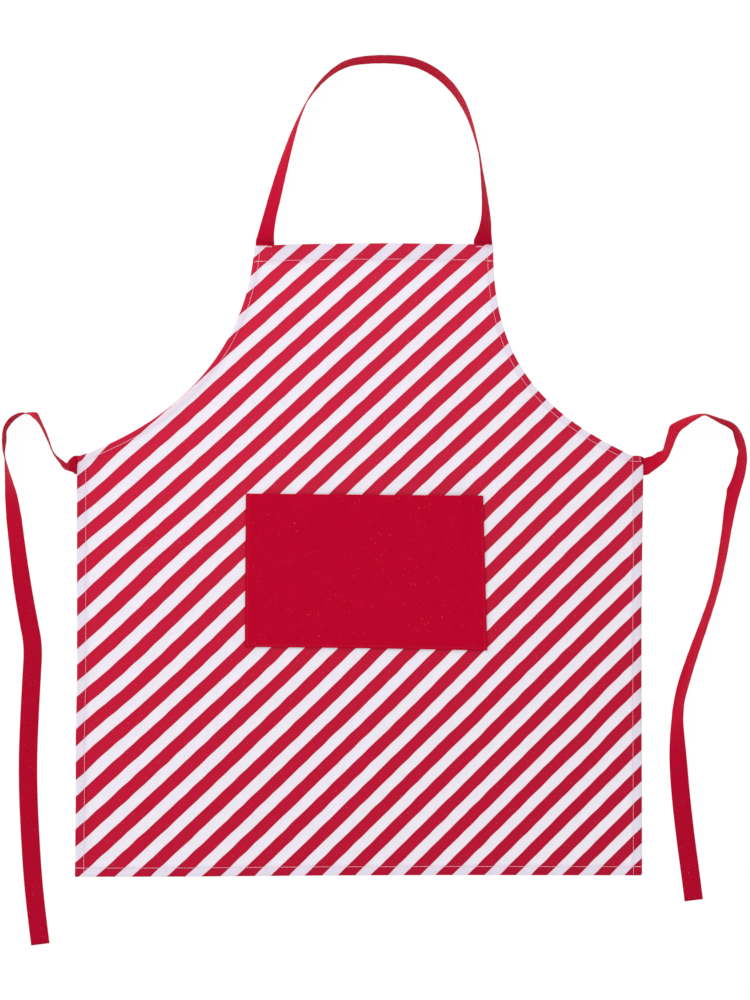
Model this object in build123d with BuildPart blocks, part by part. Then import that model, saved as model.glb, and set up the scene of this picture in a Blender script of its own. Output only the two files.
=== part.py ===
"""A bib apron laid flat on a table, face up.

Origin: middle of the apron without its two waist ties, on the table.
+Z is up, +Y runs from the skirt to the bib, +X is to the right.
All lengths are in millimetres.

Layers, from the table up: turned hem cloth and sewn strap ends, the body panel, the pocket's
turned edge, the pocket panel. Stitching lies on top of the layer it is sewn through.
"""
import os
from math import cos, hypot, radians, sin, tan

from build123d import *

os.makedirs("parts", exist_ok=True)

# ---------------------------------------------------------------- driving dimensions

cloth = 0.6
hem_height = 2 * cloth

half_skirt = 350.0
skirt_bottom = -508.0
left_corner = 11.0
right_corner = 8.0
bib_top = 274.5
bib_left = -129.0
bib_right = 166.0
left_armhole = ((bib_left, bib_top), (-140, 142), (-228, 55), (-half_skirt, left_corner))
right_armhole = ((half_skirt, right_corner), (225, 64), (163, 133), (bib_right, bib_top))

side_hem = 11.8
bottom_hem_width = 11.8
top_hem_width = 20.6
armhole_hem = 8.0

thread_width = 0.6
thread_height = 0.3
stitch_inset = 1.0

pocket_width = 298.0
pocket_depth = 190.0
pocket_centre = (7.5, -131.0)
pocket_turn = -0.7
pocket_edge = 10.0
pocket_rise = 7.0
pocket_base_rise = 0.3
pocket_mouth_fold = 18.0
pocket_stitch_inset = 3.0

strap_width = 23.0
strap_height = 1.2
station_spacing = 10.0
seam_reach = 2.0
tie_seam = half_skirt + seam_reach
neck_seam = bib_top + seam_reach
left_tie_y = -0.5
right_tie_y = -1.5
left_neck_x = -116.6
right_neck_x = 154.0
bar_tack_length = 16.0
bar_tack_rows = (3.0, 6.0)
tie_tack_shift = -2.0
corner_share = 0.45

# Routes of the three straps: x, y and roll at each corner of the run.
# Roll 0 lies flat, 90 stands on edge with the strap's right-hand edge up, 180 is face down.

neck_route = (
    (left_neck_x, neck_seam, 0),
    (left_neck_x, 289, 26),
    (-112, 304, 41),
    (-105, 333, 47),
    (-97.5, 362, 55),
    (-89, 391, 65),
    (-79, 419, 76),
    (-68, 447, 88),
    (-53, 472, 101),
    (-32, 492, 108),
    (-2, 501, 114),
    (32, 503, 115),
    (65, 500, 116),
    (96, 488, 115),
    (120, 466, 111),
    (135, 438, 104),
    (144, 406, 96),
    (149, 372, 84),
    (154, 341, 73),
    (156, 313, 60),
    (right_neck_x, 292, 34),
    (right_neck_x, neck_seam, 0),
)

left_tie_route = (
    (-tie_seam, left_tie_y, 0),
    (-361, left_tie_y, 45),
    (-370, 5.5, 74),
    (-378, 17, 88),
    (-385, 36, 95),
    (-396, 60, 102),
    (-411, 67, 90),
    (-427, 62, 77),
    (-437, 48, 79),
    (-440, 30, 84),
    (-438, 9, 97),
    (-434, -16, 112),
    (-430, -44, 138),
    (-425, -84, 156),
    (-420, -128, 168),
    (-413, -173, 180),
    (-405, -217, 180),
    (-405.5, -256, 180),
    (-408, -300, 180),
    (-410, -348, 180),
    (-410.5, -394, 180),
    (-408.5, -441, 180),
    (-406, -490, 180),
    (-402, -538, 180),
    (-395, -590, 180),
)

right_tie_route = (
    (tie_seam, right_tie_y, 0),
    (361, right_tie_y, 16),
    (369, 4, 36),
    (376, 13, 52),
    (381, 25, 61),
    (386.5, 40, 59),
    (396, 52, 62),
    (410, 59, 72),
    (427, 63.5, 90),
    (446, 58, 106),
    (463, 50, 112),
    (471, 33, 118),
    (475, 11, 125),
    (470, -11, 131),
    (461, -37, 134),
    (456, -66, 124),
    (450, -104, 119),
    (441, -146, 113),
    (427, -189, 115),
    (412, -231, 121),
    (398.5, -274, 125),
    (392, -317, 132),
    (392, -358, 154),
    (395.5, -401, 174),
    (400.5, -447, 180),
    (406.5, -493, 180),
    (412, -536, 180),
)

# ---------------------------------------------------------------- heights of the layers

panel_base = hem_height
panel_top = panel_base + cloth
pocket_edge_top = panel_top + cloth
pocket_top = pocket_edge_top + cloth

# ---------------------------------------------------------------- outline of the body cloth

with BuildSketch() as outline:
    with BuildLine():
        Line((bib_right, bib_top), (bib_left, bib_top))
        Bezier(*left_armhole)
        Polyline(
            (-half_skirt, left_corner),
            (-half_skirt, skirt_bottom),
            (half_skirt, skirt_bottom),
            (half_skirt, right_corner),
        )
        Bezier(*right_armhole)
    make_face()


def window(x_range, y_range, mode=Mode.ADD):
    """A rectangle between two x values and two y values, in the sketch being made."""
    middle = ((x_range[0] + x_range[1]) / 2, (y_range[0] + y_range[1]) / 2)
    with Locations(middle):
        Rectangle(x_range[1] - x_range[0], y_range[1] - y_range[0], mode=mode)


def plate(base, height, x_range, y_range):
    """A flat rectangular piece between two x values and two y values."""
    with BuildPart() as flat:
        with BuildSketch(Plane.XY.offset(base)):
            window(x_range, y_range)
        extrude(amount=height)
    return flat


def inside(curve, distance):
    """The control points of an armhole curve moved sideways into the cloth."""
    points = [Vector(*point) for point in curve]
    legs = [(after - before).normalized() for before, after in zip(points, points[1:])]
    sides = [Vector(-leg.Y, leg.X) for leg in legs]
    moved = [points[0] + sides[0] * distance]
    for point, arriving, leaving in zip(points[1:-1], sides, sides[1:]):
        between = (arriving + leaving).normalized()
        moved.append(point + between * (distance / between.dot(arriving)))
    moved.append(points[-1] + sides[-1] * distance)
    return moved


def armhole_band(curve, base, height, start, width, x_range):
    """A strip along an armhole, from start to start + width inside its edge, below the top hem."""
    outer = inside(curve, start)
    inner = inside(curve, start + width)
    with BuildPart() as band:
        with BuildSketch(Plane.XY.offset(base)):
            with BuildLine():
                Bezier(*outer)
                Line(outer[-1], inner[-1])
                Bezier(*reversed(inner))
                Line(inner[0], outer[0])
            make_face()
            window(x_range, (0, top_hem_base), Mode.INTERSECT)
        extrude(amount=height)
    return band


# ---------------------------------------------------------------- body panel and its hems

with BuildPart() as body_panel:
    with BuildSketch(Plane.XY.offset(panel_base)):
        add(outline.sketch)
    extrude(amount=cloth)

bottom_hem_top = skirt_bottom + bottom_hem_width
top_hem_base = bib_top - top_hem_width
inner_side = half_skirt - side_hem
half_strap = strap_width / 2

bottom_hem = plate(0, hem_height, (-half_skirt, half_skirt), (skirt_bottom, bottom_hem_top))

top_hem = plate(
    0, hem_height, (left_neck_x + half_strap, right_neck_x - half_strap), (top_hem_base, bib_top)
)

left_side_hem = plate(
    0, hem_height, (-half_skirt, -inner_side), (bottom_hem_top, left_tie_y - half_strap)
)

right_side_hem = plate(
    0, hem_height, (inner_side, half_skirt), (bottom_hem_top, right_tie_y - half_strap)
)

left_half = (-inner_side, 0)
right_half = (0, inner_side)
left_armhole_hem = armhole_band(left_armhole, 0, hem_height, 0, armhole_hem, left_half)
right_armhole_hem = armhole_band(right_armhole, 0, hem_height, 0, armhole_hem, right_half)

# ---------------------------------------------------------------- sewn ends of the straps


def sewn_end(x_range, y_range):
    """The end of a strap, held under the edge of the body panel."""
    return plate(0, strap_height, x_range, y_range)


def around(middle):
    """The two sides of a strap whose centreline is at middle."""
    return (middle - half_strap, middle + half_strap)


neck_strap_left_end = sewn_end(around(left_neck_x), (top_hem_base, neck_seam))
neck_strap_right_end = sewn_end(around(right_neck_x), (top_hem_base, neck_seam))
left_tie_sewn_end = sewn_end((-tie_seam, -inner_side), around(left_tie_y))
right_tie_sewn_end = sewn_end((inner_side, tie_seam), around(right_tie_y))

# ---------------------------------------------------------------- pocket

pocket_frame = Plane(origin=(*pocket_centre, 0)).rotated((0, 0, pocket_turn))
half_mouth = pocket_width / 2
half_arch = half_mouth - pocket_edge
pocket_mouth = pocket_depth / 2
pocket_foot = -pocket_depth / 2


def across_pocket(along, height):
    """A plane across the pocket, seen from its mouth end, at a distance along it."""
    middle = pocket_frame.from_local_coords(Vector(0, along, height))
    return Plane(origin=middle, x_dir=pocket_frame.x_dir, z_dir=-pocket_frame.y_dir)


def arch_with_flanges(rise):
    """Section of the pocket panel: flat at each side, bowed up between."""
    with BuildLine() as edge:
        Line((-half_mouth, 0), (-half_arch, 0))
        ThreePointArc((-half_arch, 0), (0, rise), (half_arch, 0))
        Polyline((half_arch, 0), (half_mouth, 0), (half_mouth, cloth), (half_arch, cloth))
        ThreePointArc((half_arch, cloth), (0, rise + cloth), (-half_arch, cloth))
        Polyline((-half_arch, cloth), (-half_mouth, cloth), (-half_mouth, 0))
    make_face(edge.edges())


def arch(rise):
    """Section of the fold inside the pocket's mouth: the bow without the flat sides."""
    with BuildLine() as edge:
        ThreePointArc((-half_arch, 0), (0, rise), (half_arch, 0))
        Line((half_arch, 0), (half_arch, cloth))
        ThreePointArc((half_arch, cloth), (0, rise + cloth), (-half_arch, cloth))
        Line((-half_arch, cloth), (-half_arch, 0))
    make_face(edge.edges())


def rise_at(along):
    """Height of the pocket's bow at a distance along it: full at the mouth, least at the foot."""
    share = (along - pocket_foot - pocket_edge) / (pocket_depth - pocket_edge)
    return pocket_base_rise + (pocket_rise - pocket_base_rise) * share


with BuildPart() as pocket_panel:
    with BuildSketch(across_pocket(pocket_mouth, pocket_edge_top)):
        arch_with_flanges(rise_at(pocket_mouth))
    with BuildSketch(across_pocket(pocket_foot + pocket_edge, pocket_edge_top)):
        arch_with_flanges(rise_at(pocket_foot + pocket_edge))
    loft(ruled=True)
    with BuildSketch(pocket_frame.offset(pocket_edge_top)):
        with Locations((0, pocket_foot + pocket_edge / 2)):
            Rectangle(pocket_width, pocket_edge)
    extrude(amount=cloth)

with BuildPart() as pocket_mouth_hem:
    with BuildSketch(across_pocket(pocket_mouth, panel_top)):
        arch(rise_at(pocket_mouth))
    with BuildSketch(across_pocket(pocket_mouth - pocket_mouth_fold, panel_top)):
        arch(rise_at(pocket_mouth - pocket_mouth_fold))
    loft(ruled=True)

with BuildPart() as pocket_turned_edge:
    with BuildSketch(pocket_frame.offset(panel_top)):
        Rectangle(pocket_width, pocket_depth)
        with Locations((0, pocket_edge)):
            Rectangle(2 * half_arch, pocket_depth, mode=Mode.SUBTRACT)
    extrude(amount=cloth)

with BuildPart() as pocket_stitching:
    stitch_half = half_mouth - pocket_stitch_inset
    with BuildSketch(pocket_frame.offset(pocket_top)):
        with BuildLine():
            Polyline(
                (-stitch_half, pocket_mouth),
                (-stitch_half, pocket_foot + pocket_stitch_inset),
                (stitch_half, pocket_foot + pocket_stitch_inset),
                (stitch_half, pocket_mouth),
            )
        trace(line_width=thread_width)
    extrude(amount=thread_height)

# ---------------------------------------------------------------- hem stitching


def side_stitching(side, lower, upper):
    """The straight stitch line down one side hem; side is -1 on the left and 1 on the right."""
    middle = side * (inner_side + stitch_inset)
    stretch = (middle - thread_width / 2, middle + thread_width / 2)
    return plate(panel_top, thread_height, stretch, (lower, upper))


def across_stitching(x_range, middle):
    """A straight stitch line from left to right."""
    return plate(
        panel_top, thread_height, x_range, (middle - thread_width / 2, middle + thread_width / 2)
    )


bottom_stitch_y = bottom_hem_top - stitch_inset
top_stitch_y = top_hem_base + stitch_inset
armhole_stitch = armhole_hem - stitch_inset

bottom_hem_stitching = across_stitching((-half_skirt, half_skirt), bottom_stitch_y)
top_hem_stitching = across_stitching((bib_left, bib_right), top_stitch_y)
left_side_stitching = side_stitching(-1, bottom_hem_top, left_tie_y - half_strap)
right_side_stitching = side_stitching(1, bottom_hem_top, right_tie_y - half_strap)
left_armhole_stitching = armhole_band(
    left_armhole, panel_top, thread_height, armhole_stitch, thread_width, left_half
)
right_armhole_stitching = armhole_band(
    right_armhole, panel_top, thread_height, armhole_stitch, thread_width, right_half
)

# ---------------------------------------------------------------- bar tacks that hold the straps


def bar_tack(rows, level_stitches):
    """Short rows of stitches through the body panel and a strap end."""
    with BuildPart() as tack:
        with BuildSketch(Plane.XY.offset(panel_top)):
            with Locations(*rows):
                if level_stitches:
                    Rectangle(bar_tack_length, thread_width)
                else:
                    Rectangle(thread_width, bar_tack_length)
        extrude(amount=thread_height)
    return tack


neck_tack_rows = [bib_top - inset for inset in bar_tack_rows]
neck_strap_left_tack = bar_tack([(left_neck_x, y) for y in neck_tack_rows], True)
neck_strap_right_tack = bar_tack([(right_neck_x, y) for y in neck_tack_rows], True)
tie_tack_columns = [half_skirt - inset for inset in bar_tack_rows]
left_tack_y = left_tie_y + tie_tack_shift
right_tack_y = right_tie_y + tie_tack_shift
left_tie_tack = bar_tack([(-x, left_tack_y) for x in tie_tack_columns], False)
right_tie_tack = bar_tack([(x, right_tack_y) for x in tie_tack_columns], False)

# ---------------------------------------------------------------- straps that lie free


def corner_radii(route):
    """Bend radius at each inner corner, whose arc takes a share of the shorter run beside it."""
    radii = []
    for before, corner, after in zip(route, route[1:], route[2:]):
        arriving = Vector(corner[0] - before[0], corner[1] - before[1])
        leaving = Vector(after[0] - corner[0], after[1] - corner[1])
        turn = radians(arriving.get_angle(leaving))
        arc_reach = corner_share * min(arriving.length, leaving.length)
        radii.append(arc_reach / tan(turn / 2))
    return radii


def roll_at(route, share):
    """Roll of the strap at a share of its length, even between the corners of its route."""
    distances = [0.0]
    for before, after in zip(route, route[1:]):
        distances.append(distances[-1] + hypot(after[0] - before[0], after[1] - before[1]))
    target = share * distances[-1]
    last = len(route) - 1
    run = min(last, max(1, sum(distance < target for distance in distances)))
    part_way = (target - distances[run - 1]) / (distances[run] - distances[run - 1])
    return route[run - 1][2] + (route[run][2] - route[run - 1][2]) * part_way


def strap(name, route):
    """A flat strap standing or lying on the table along its route, rolled as the route says."""
    radii = corner_radii(route)
    with BuildLine() as centre:
        FilletPolyline(*[corner[:2] for corner in route], radius=radii)
    path = centre.wire()
    count = round(path.length / station_spacing)
    with BuildPart() as band:
        for number in range(count + 1):
            share = number / count
            roll = radians(roll_at(route, share))
            forward = path.tangent_at(share)
            right_hand = Vector(forward.Y, -forward.X)
            across = right_hand * cos(roll) + Vector(0, 0, sin(roll))
            height = strap_width / 2 * abs(sin(roll)) + strap_height / 2 * abs(cos(roll))
            middle = path.position_at(share) + Vector(0, 0, height)
            with BuildSketch(Plane(origin=middle, x_dir=across, z_dir=forward)):
                Rectangle(strap_width, strap_height)
        loft(ruled=True)
    section = strap_width * strap_height
    print(f"{name}: length {path.length:.1f}, volume / (section x length)", end=" ")
    print(f"{band.part.volume / (section * path.length):.3f}, smallest radius {min(radii):.1f}")
    print("  radii", " ".join(f"{radius:.0f}" for radius in radii))
    return band


neck_strap = strap("neck_strap", neck_route)
left_tie = strap("left_tie", left_tie_route)
right_tie = strap("right_tie", right_tie_route)

# ---------------------------------------------------------------- write the pieces

pieces = {
    "body_panel": body_panel,
    "top_hem": top_hem,
    "bottom_hem": bottom_hem,
    "left_side_hem": left_side_hem,
    "right_side_hem": right_side_hem,
    "left_armhole_hem": left_armhole_hem,
    "right_armhole_hem": right_armhole_hem,
    "neck_strap_left_end": neck_strap_left_end,
    "neck_strap_right_end": neck_strap_right_end,
    "left_tie_sewn_end": left_tie_sewn_end,
    "right_tie_sewn_end": right_tie_sewn_end,
    "pocket_panel": pocket_panel,
    "pocket_mouth_hem": pocket_mouth_hem,
    "pocket_turned_edge": pocket_turned_edge,
    "pocket_stitching": pocket_stitching,
    "bottom_hem_stitching": bottom_hem_stitching,
    "top_hem_stitching": top_hem_stitching,
    "left_side_stitching": left_side_stitching,
    "right_side_stitching": right_side_stitching,
    "left_armhole_stitching": left_armhole_stitching,
    "right_armhole_stitching": right_armhole_stitching,
    "neck_strap_left_tack": neck_strap_left_tack,
    "neck_strap_right_tack": neck_strap_right_tack,
    "left_tie_tack": left_tie_tack,
    "right_tie_tack": right_tie_tack,
    "neck_strap": neck_strap,
    "left_tie": left_tie,
    "right_tie": right_tie,
}

for node, piece in pieces.items():
    piece.part.label = node
    export_step(piece.part, f"parts/{node}.step")
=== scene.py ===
"""Looks of a bib apron that lies flat on a pale floor, seen from straight above.

Metres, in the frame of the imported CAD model: +X right, +Y towards the bib, +Z up, floor at z = 0.
"""
import math

import bpy
import numpy as np
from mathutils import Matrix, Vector, kdtree
from mathutils.geometry import delaunay_2d_cdt


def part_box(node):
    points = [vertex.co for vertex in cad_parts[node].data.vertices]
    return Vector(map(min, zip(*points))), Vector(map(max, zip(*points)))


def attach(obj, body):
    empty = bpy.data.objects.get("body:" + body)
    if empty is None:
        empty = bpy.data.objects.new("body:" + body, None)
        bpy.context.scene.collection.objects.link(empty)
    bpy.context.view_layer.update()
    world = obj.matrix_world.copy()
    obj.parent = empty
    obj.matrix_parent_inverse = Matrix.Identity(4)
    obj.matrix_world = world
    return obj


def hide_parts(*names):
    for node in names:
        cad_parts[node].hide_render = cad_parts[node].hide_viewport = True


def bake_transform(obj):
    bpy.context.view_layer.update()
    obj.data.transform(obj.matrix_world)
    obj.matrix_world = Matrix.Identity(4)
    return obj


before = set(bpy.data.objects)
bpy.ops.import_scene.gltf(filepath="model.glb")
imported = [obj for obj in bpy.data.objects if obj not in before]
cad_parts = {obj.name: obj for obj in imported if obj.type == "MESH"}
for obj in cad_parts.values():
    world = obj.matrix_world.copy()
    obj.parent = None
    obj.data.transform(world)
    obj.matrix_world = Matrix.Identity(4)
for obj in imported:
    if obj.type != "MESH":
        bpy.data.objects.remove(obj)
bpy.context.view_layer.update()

# ---------------------------------------------------------------- driving values

# Thicknesses of the cloth, a hem's fold and the cloth turned under the pocket, the gap between
# layers, and the heights of the body cloth's upper side on the hems and off them.
CLOTH = 0.0005
HEM_FOLD = 0.00105
TURNED_CLOTH = 0.00045
LAYER_GAP = 0.00003
HEM_TOP = 0.0016
FIELD_TOP = 0.0007

# Outline: half the skirt's width, y of the foot and of the bib's top, and the armholes' curves.
HALF_SKIRT = 0.350
SKIRT_BOTTOM = -0.508
BIB_TOP = 0.2745
LEFT_ARMHOLE = ((-0.1293, 0.2722), (-0.1385, 0.141), (-0.2265, 0.054), (-0.3487, 0.0115))
RIGHT_ARMHOLE = ((0.3376, 0.0129), (0.224, 0.066), (0.1635, 0.133), (0.1662, 0.2734))

# Widths of the hems, the inset of their stitching, and the slope from a hem to the single cloth.
SIDE_HEM = 0.0118
TOP_HEM = 0.0206
ARMHOLE_HEM = 0.008
STITCH_INSET = 0.001
HEM_SLOPE = 0.004

# Relief of the laid cloth: the dimple along a row of stitches, the rounded edge and the waves.
DIMPLE_DEPTH = 0.00022
DIMPLE_REACH = 0.0011
EDGE_DROP = 0.0006
EDGE_REACH = 0.0011
BROAD_WAVES = 0.00065
FINE_WAVES = 0.00006
HEM_PUCKER = 0.0001
ROW_PUCKER = 0.00012

# Points of the body cloth: spacing along its outline and in its middle, and the least gaps from
# the middle's points and between any two. Then the spacings along hems and beside an edge.
OUTLINE_SPACING = 0.0035
GRID_SPACING = 0.0048
GRID_GAP = 0.0028
POINT_GAP = 0.0004
LINE_SPACING = 0.004
ROW_SPACING = 0.003

# The stripes' pitch, direction and start, and how far the print wanders.
STRIPE_PITCH = 0.0285
STRIPE_ANGLE = math.radians(43.5)
PRINT_START = 0.229
PRINT_WANDER = 0.0003

# Places where the cloth is pulled across its stripes: x, y, reach in x and in y, and how far.
PULLS = (
    (-0.200, 0.055, 0.110, 0.060, 0.0013),
    (-0.240, -0.115, 0.130, 0.045, -0.0019),
    (-0.190, -0.245, 0.130, 0.045, 0.0011),
    (-0.330, -0.335, 0.040, 0.050, -0.0021),
    (0.060, -0.022, 0.140, 0.035, -0.0010),
    (0.230, -0.050, 0.110, 0.060, -0.0007),
    (0.165, 0.090, 0.040, 0.100, 0.0006),
    (-0.348, 0.002, 0.027, 0.024, 0.0049),
    (-0.344, 0.010, 0.012, 0.010, 0.0017),
    (-0.345, -0.095, 0.030, 0.050, -0.0011),
    (0.320, -0.085, 0.035, 0.055, 0.0009),
    (0.055, -0.300, 0.110, 0.050, 0.0008),
    (-0.335, -0.010, 0.030, 0.030, 0.0008),
    (-0.290, -0.270, 0.040, 0.050, 0.0006),
    (-0.130, 0.215, 0.025, 0.040, 0.0010),
    (0.140, -0.300, 0.020, 0.050, 0.0007),
    (0.279, -0.345, 0.025, 0.045, 0.0009),
    (0.313, -0.300, 0.022, 0.050, -0.0007),
)

# Straps: how far they cup when they stand on edge, arch as they run, and ripple at their edges.
STRAP_WIDTH = 0.023
STRAP_THICKNESS = 0.0011
CUP = 0.0009
ARCH = 0.0007
RIPPLE = 0.00012

# Camera and light.
CAMERA_HEIGHT = 8.0
VIEW_HEIGHT = 1.2367
VIEW_CENTRE = (0.0198, -0.0420)
SENSOR = 36.0

SKY_LIGHT = 0.76
HORIZON_LIGHT = 1.7
LAMP_POWER = 42.0
LAMP_PLACE = (-1.7, 2.1, 1.2)
LAMP_SIZE = (1.6, 1.2)

rng = np.random.default_rng(20)

# Routes of the straps: x, y and roll in degrees. Roll 0 lies flat and face up, 90 stands on
# edge with the strap's right-hand edge up, and 180 lies face down.

NECK_ROUTE = (
    (-0.1162, 0.2555, 0),
    (-0.1162, 0.2730, 0),
    (-0.1162, 0.2775, 0),
    (-0.1159, 0.2795, 18),
    (-0.1143, 0.290, 34),
    (-0.1102, 0.309, 44),
    (-0.1027, 0.337, 49),
    (-0.0950, 0.366, 57),
    (-0.0866, 0.394, 67),
    (-0.0778, 0.4205, 77),
    (-0.0668, 0.446, 86),
    (-0.0517, 0.4692, 96),
    (-0.0350, 0.4858, 102),
    (-0.0155, 0.4978, 108),
    (0.010, 0.5020, 112),
    (0.0385, 0.5026, 113),
    (0.066, 0.4998, 114),
    (0.0915, 0.4888, 114),
    (0.113, 0.4708, 112),
    (0.129, 0.4478, 107),
    (0.1388, 0.4235, 99),
    (0.146, 0.3965, 92),
    (0.1505, 0.3705, 84),
    (0.1542, 0.344, 75),
    (0.1565, 0.319, 66),
    (0.157, 0.303, 56),
    (0.1554, 0.289, 43),
    (0.1538, 0.2798, 20),
    (0.1534, 0.2778, 0),
    (0.1534, 0.2730, 0),
    (0.1534, 0.2555, 0),
)

LEFT_TIE_ROUTE = (
    (-0.3385, 0.0014, 0),
    (-0.3480, 0.0014, 0),
    (-0.3508, 0.0014, 0),
    (-0.3525, 0.0014, 20),
    (-0.3552, 0.0010, 38),
    (-0.359, 0.0002, 56),
    (-0.363, 0.0004, 68),
    (-0.369, 0.0066, 80),
    (-0.3775, 0.016, 87),
    (-0.3838, 0.0333, 92),
    (-0.391, 0.050, 95),
    (-0.3995, 0.0624, 104),
    (-0.411, 0.0662, 92),
    (-0.4198, 0.064, 82),
    (-0.430, 0.0574, 77),
    (-0.437, 0.0468, 79),
    (-0.4387, 0.033, 81),
    (-0.4388, 0.018, 87),
    (-0.4375, 0.008, 95),
    (-0.4338, -0.012, 111),
    (-0.4297, -0.036, 134),
    (-0.4264, -0.064, 149),
    (-0.422, -0.102, 154),
    (-0.4165, -0.146, 165),
    (-0.409, -0.190, 173),
    (-0.4025, -0.2225, 176),
    (-0.405, -0.264, 180),
    (-0.4075, -0.310, 180),
    (-0.4095, -0.360, 180),
    (-0.409, -0.410, 180),
    (-0.4065, -0.460, 180),
    (-0.4035, -0.508, 180),
    (-0.399, -0.552, 180),
    (-0.394, -0.5915, 180),
)

RIGHT_TIE_ROUTE = (
    (0.3385, 0.000, 0),
    (0.3500, 0.000, 0),
    (0.3532, 0.000, 0),
    (0.3550, 0.0006, 20),
    (0.3595, 0.0024, 36),
    (0.3665, 0.0058, 47),
    (0.3757, 0.0116, 58),
    (0.3812, 0.021, 66),
    (0.3856, 0.0352, 61),
    (0.3908, 0.0472, 57),
    (0.402, 0.0538, 64),
    (0.4122, 0.0592, 72),
    (0.425, 0.0638, 86),
    (0.436, 0.0602, 96),
    (0.4475, 0.0551, 104),
    (0.461, 0.050, 109),
    (0.4688, 0.0372, 114),
    (0.4727, 0.0212, 118),
    (0.4732, 0.0055, 121),
    (0.4692, -0.013, 126),
    (0.463, -0.0305, 130),
    (0.4583, -0.0505, 126),
    (0.454, -0.0795, 118),
    (0.4478, -0.117, 115),
    (0.4398, -0.154, 111),
    (0.4275, -0.191, 114),
    (0.4138, -0.2285, 119),
    (0.4015, -0.2655, 124),
    (0.395, -0.291, 122),
    (0.393, -0.315, 127),
    (0.3933, -0.340, 143),
    (0.3945, -0.366, 160),
    (0.398, -0.410, 172),
    (0.404, -0.462, 178),
    (0.410, -0.505, 180),
    (0.414, -0.537, 180),
)

# Kinks in a strap's edge: x, y, side (1 is the right-hand edge), shift and reach.

LEFT_TIE_NICKS = (
    (-0.3570, 0.000, 1, (0.0000, -0.0022, -0.001), 0.006),
    (-0.3625, 0.000, 1, (0.0000, -0.0018, -0.001), 0.005),
    (-0.401, 0.062, -1, (0.0012, 0.0018, 0.0), 0.009),
    (-0.437, 0.044, -1, (-0.0012, -0.0004, 0.0), 0.008),
    (-0.4385, 0.030, -1, (0.0010, 0.0, 0.0), 0.012),
)

RIGHT_TIE_NICKS = (
    (0.3560, 0.001, -1, (0.0000, -0.0010, 0.0), 0.005),
    (0.3735, 0.010, -1, (0.0000, 0.0020, 0.0), 0.009),
    (0.3785, 0.0165, -1, (0.0012, 0.0004, 0.0), 0.007),
    (0.3905, 0.045, -1, (-0.0010, 0.0010, 0.0), 0.006),
    (0.4655, 0.045, -1, (0.0010, 0.0008, 0.0), 0.008),
    (0.4732, 0.0194, -1, (0.0018, 0.0, 0.0), 0.010),
    (0.462, -0.030, -1, (-0.0014, 0.0, 0.0), 0.009),
)


# ---------------------------------------------------------------- camera


def make_camera():
    """A camera straight above the apron, with the photograph's framing."""
    data = bpy.data.cameras.new("camera")
    data.sensor_width = SENSOR
    data.lens = SENSOR * CAMERA_HEIGHT / VIEW_HEIGHT
    camera = bpy.data.objects.new("camera", data)
    camera.location = (*VIEW_CENTRE, CAMERA_HEIGHT)
    bpy.context.scene.collection.objects.link(camera)
    bpy.context.scene.camera = camera


# ---------------------------------------------------------------- shader helpers


def set_input(node, name, value):
    """Links an output to a node's input, or sets the input's own value."""
    if isinstance(value, bpy.types.NodeSocket):
        node.id_data.links.new(value, node.inputs[name])
    else:
        node.inputs[name].default_value = value


class Shader:
    """The nodes of one material, made one call at a time."""

    def __init__(self, name):
        self.material = bpy.data.materials.new(name)
        self.material.use_nodes = True
        self.tree = self.material.node_tree
        self.tree.nodes.clear()

    def node(self, kind, output=0, settings=None, **inputs):
        made = self.tree.nodes.new(kind)
        for key, value in (settings or {}).items():
            setattr(made, key, value)
        for key, value in inputs.items():
            set_input(made, key.replace("_", " "), value)
        return made.outputs[output]

    def math(self, operation, *values):
        made = self.tree.nodes.new("ShaderNodeMath")
        made.operation = operation
        for number, value in enumerate(values):
            set_input(made, number, value)
        return made.outputs[0]

    def scaled(self, coordinates, factors):
        made = self.tree.nodes.new("ShaderNodeVectorMath")
        made.operation = "MULTIPLY"
        set_input(made, 0, coordinates)
        set_input(made, 1, factors)
        return made.outputs[0]

    def parts(self, vector):
        made = self.tree.nodes.new("ShaderNodeSeparateXYZ")
        self.tree.links.new(vector, made.inputs[0])
        return made.outputs

    def noise(self, coordinates, factors, detail=2.0, roughness=0.5):
        return self.node(
            "ShaderNodeTexNoise",
            0,
            Vector=self.scaled(coordinates, factors),
            Scale=1.0,
            Detail=detail,
            Roughness=roughness,
        )

    def ramp(self, value, low, high, start=0.0, stop=1.0):
        return self.node(
            "ShaderNodeMapRange",
            0,
            {"interpolation_type": "SMOOTHSTEP"},
            Value=value,
            From_Min=low,
            From_Max=high,
            To_Min=start,
            To_Max=stop,
        )

    def mix(self, factor, first, second, blend="MIX"):
        made = self.tree.nodes.new("ShaderNodeMix")
        made.data_type = "RGBA"
        made.blend_type = blend
        set_input(made, 0, factor)
        set_input(made, 6, first)
        set_input(made, 7, second)
        return made.outputs[2]

    def grey(self, value):
        return self.node("ShaderNodeCombineColor", 0, Red=value, Green=value, Blue=value)

    def finish(self, surface):
        output = self.tree.nodes.new("ShaderNodeOutputMaterial")
        self.tree.links.new(surface, output.inputs["Surface"])
        return self.material


def srgb(red, green, blue):
    """A colour given as 0 to 255 sRGB values, as the linear colour that a shader takes."""

    def linear(value):
        share = value / 255
        return share / 12.92 if share <= 0.04045 else ((share + 0.055) / 1.055) ** 2.4

    return (linear(red), linear(green), linear(blue), 1.0)


# ---------------------------------------------------------------- materials

WEAVE_PITCH = 0.00055

# The print's red in painted shade at the foot and in painted light, paler and pinker, at the bib.
RED_PRINT_SHADED_FOOT = srgb(188, 21, 53)
RED_PRINT_LIT_BIB = srgb(188, 31, 59)
WHITE_COTTON = srgb(225, 223, 232)
WHITE_BESIDE_PRINT = srgb(236, 217, 226)
HEM_TINT = (0.92, 0.90, 0.945, 1.0)
RED_COTTON = srgb(170, 4, 40)
RED_POCKET = srgb(179, 0, 40)
PALE_THREAD = srgb(242, 184, 200)
RED_THREAD = srgb(172, 0, 36)


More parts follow.
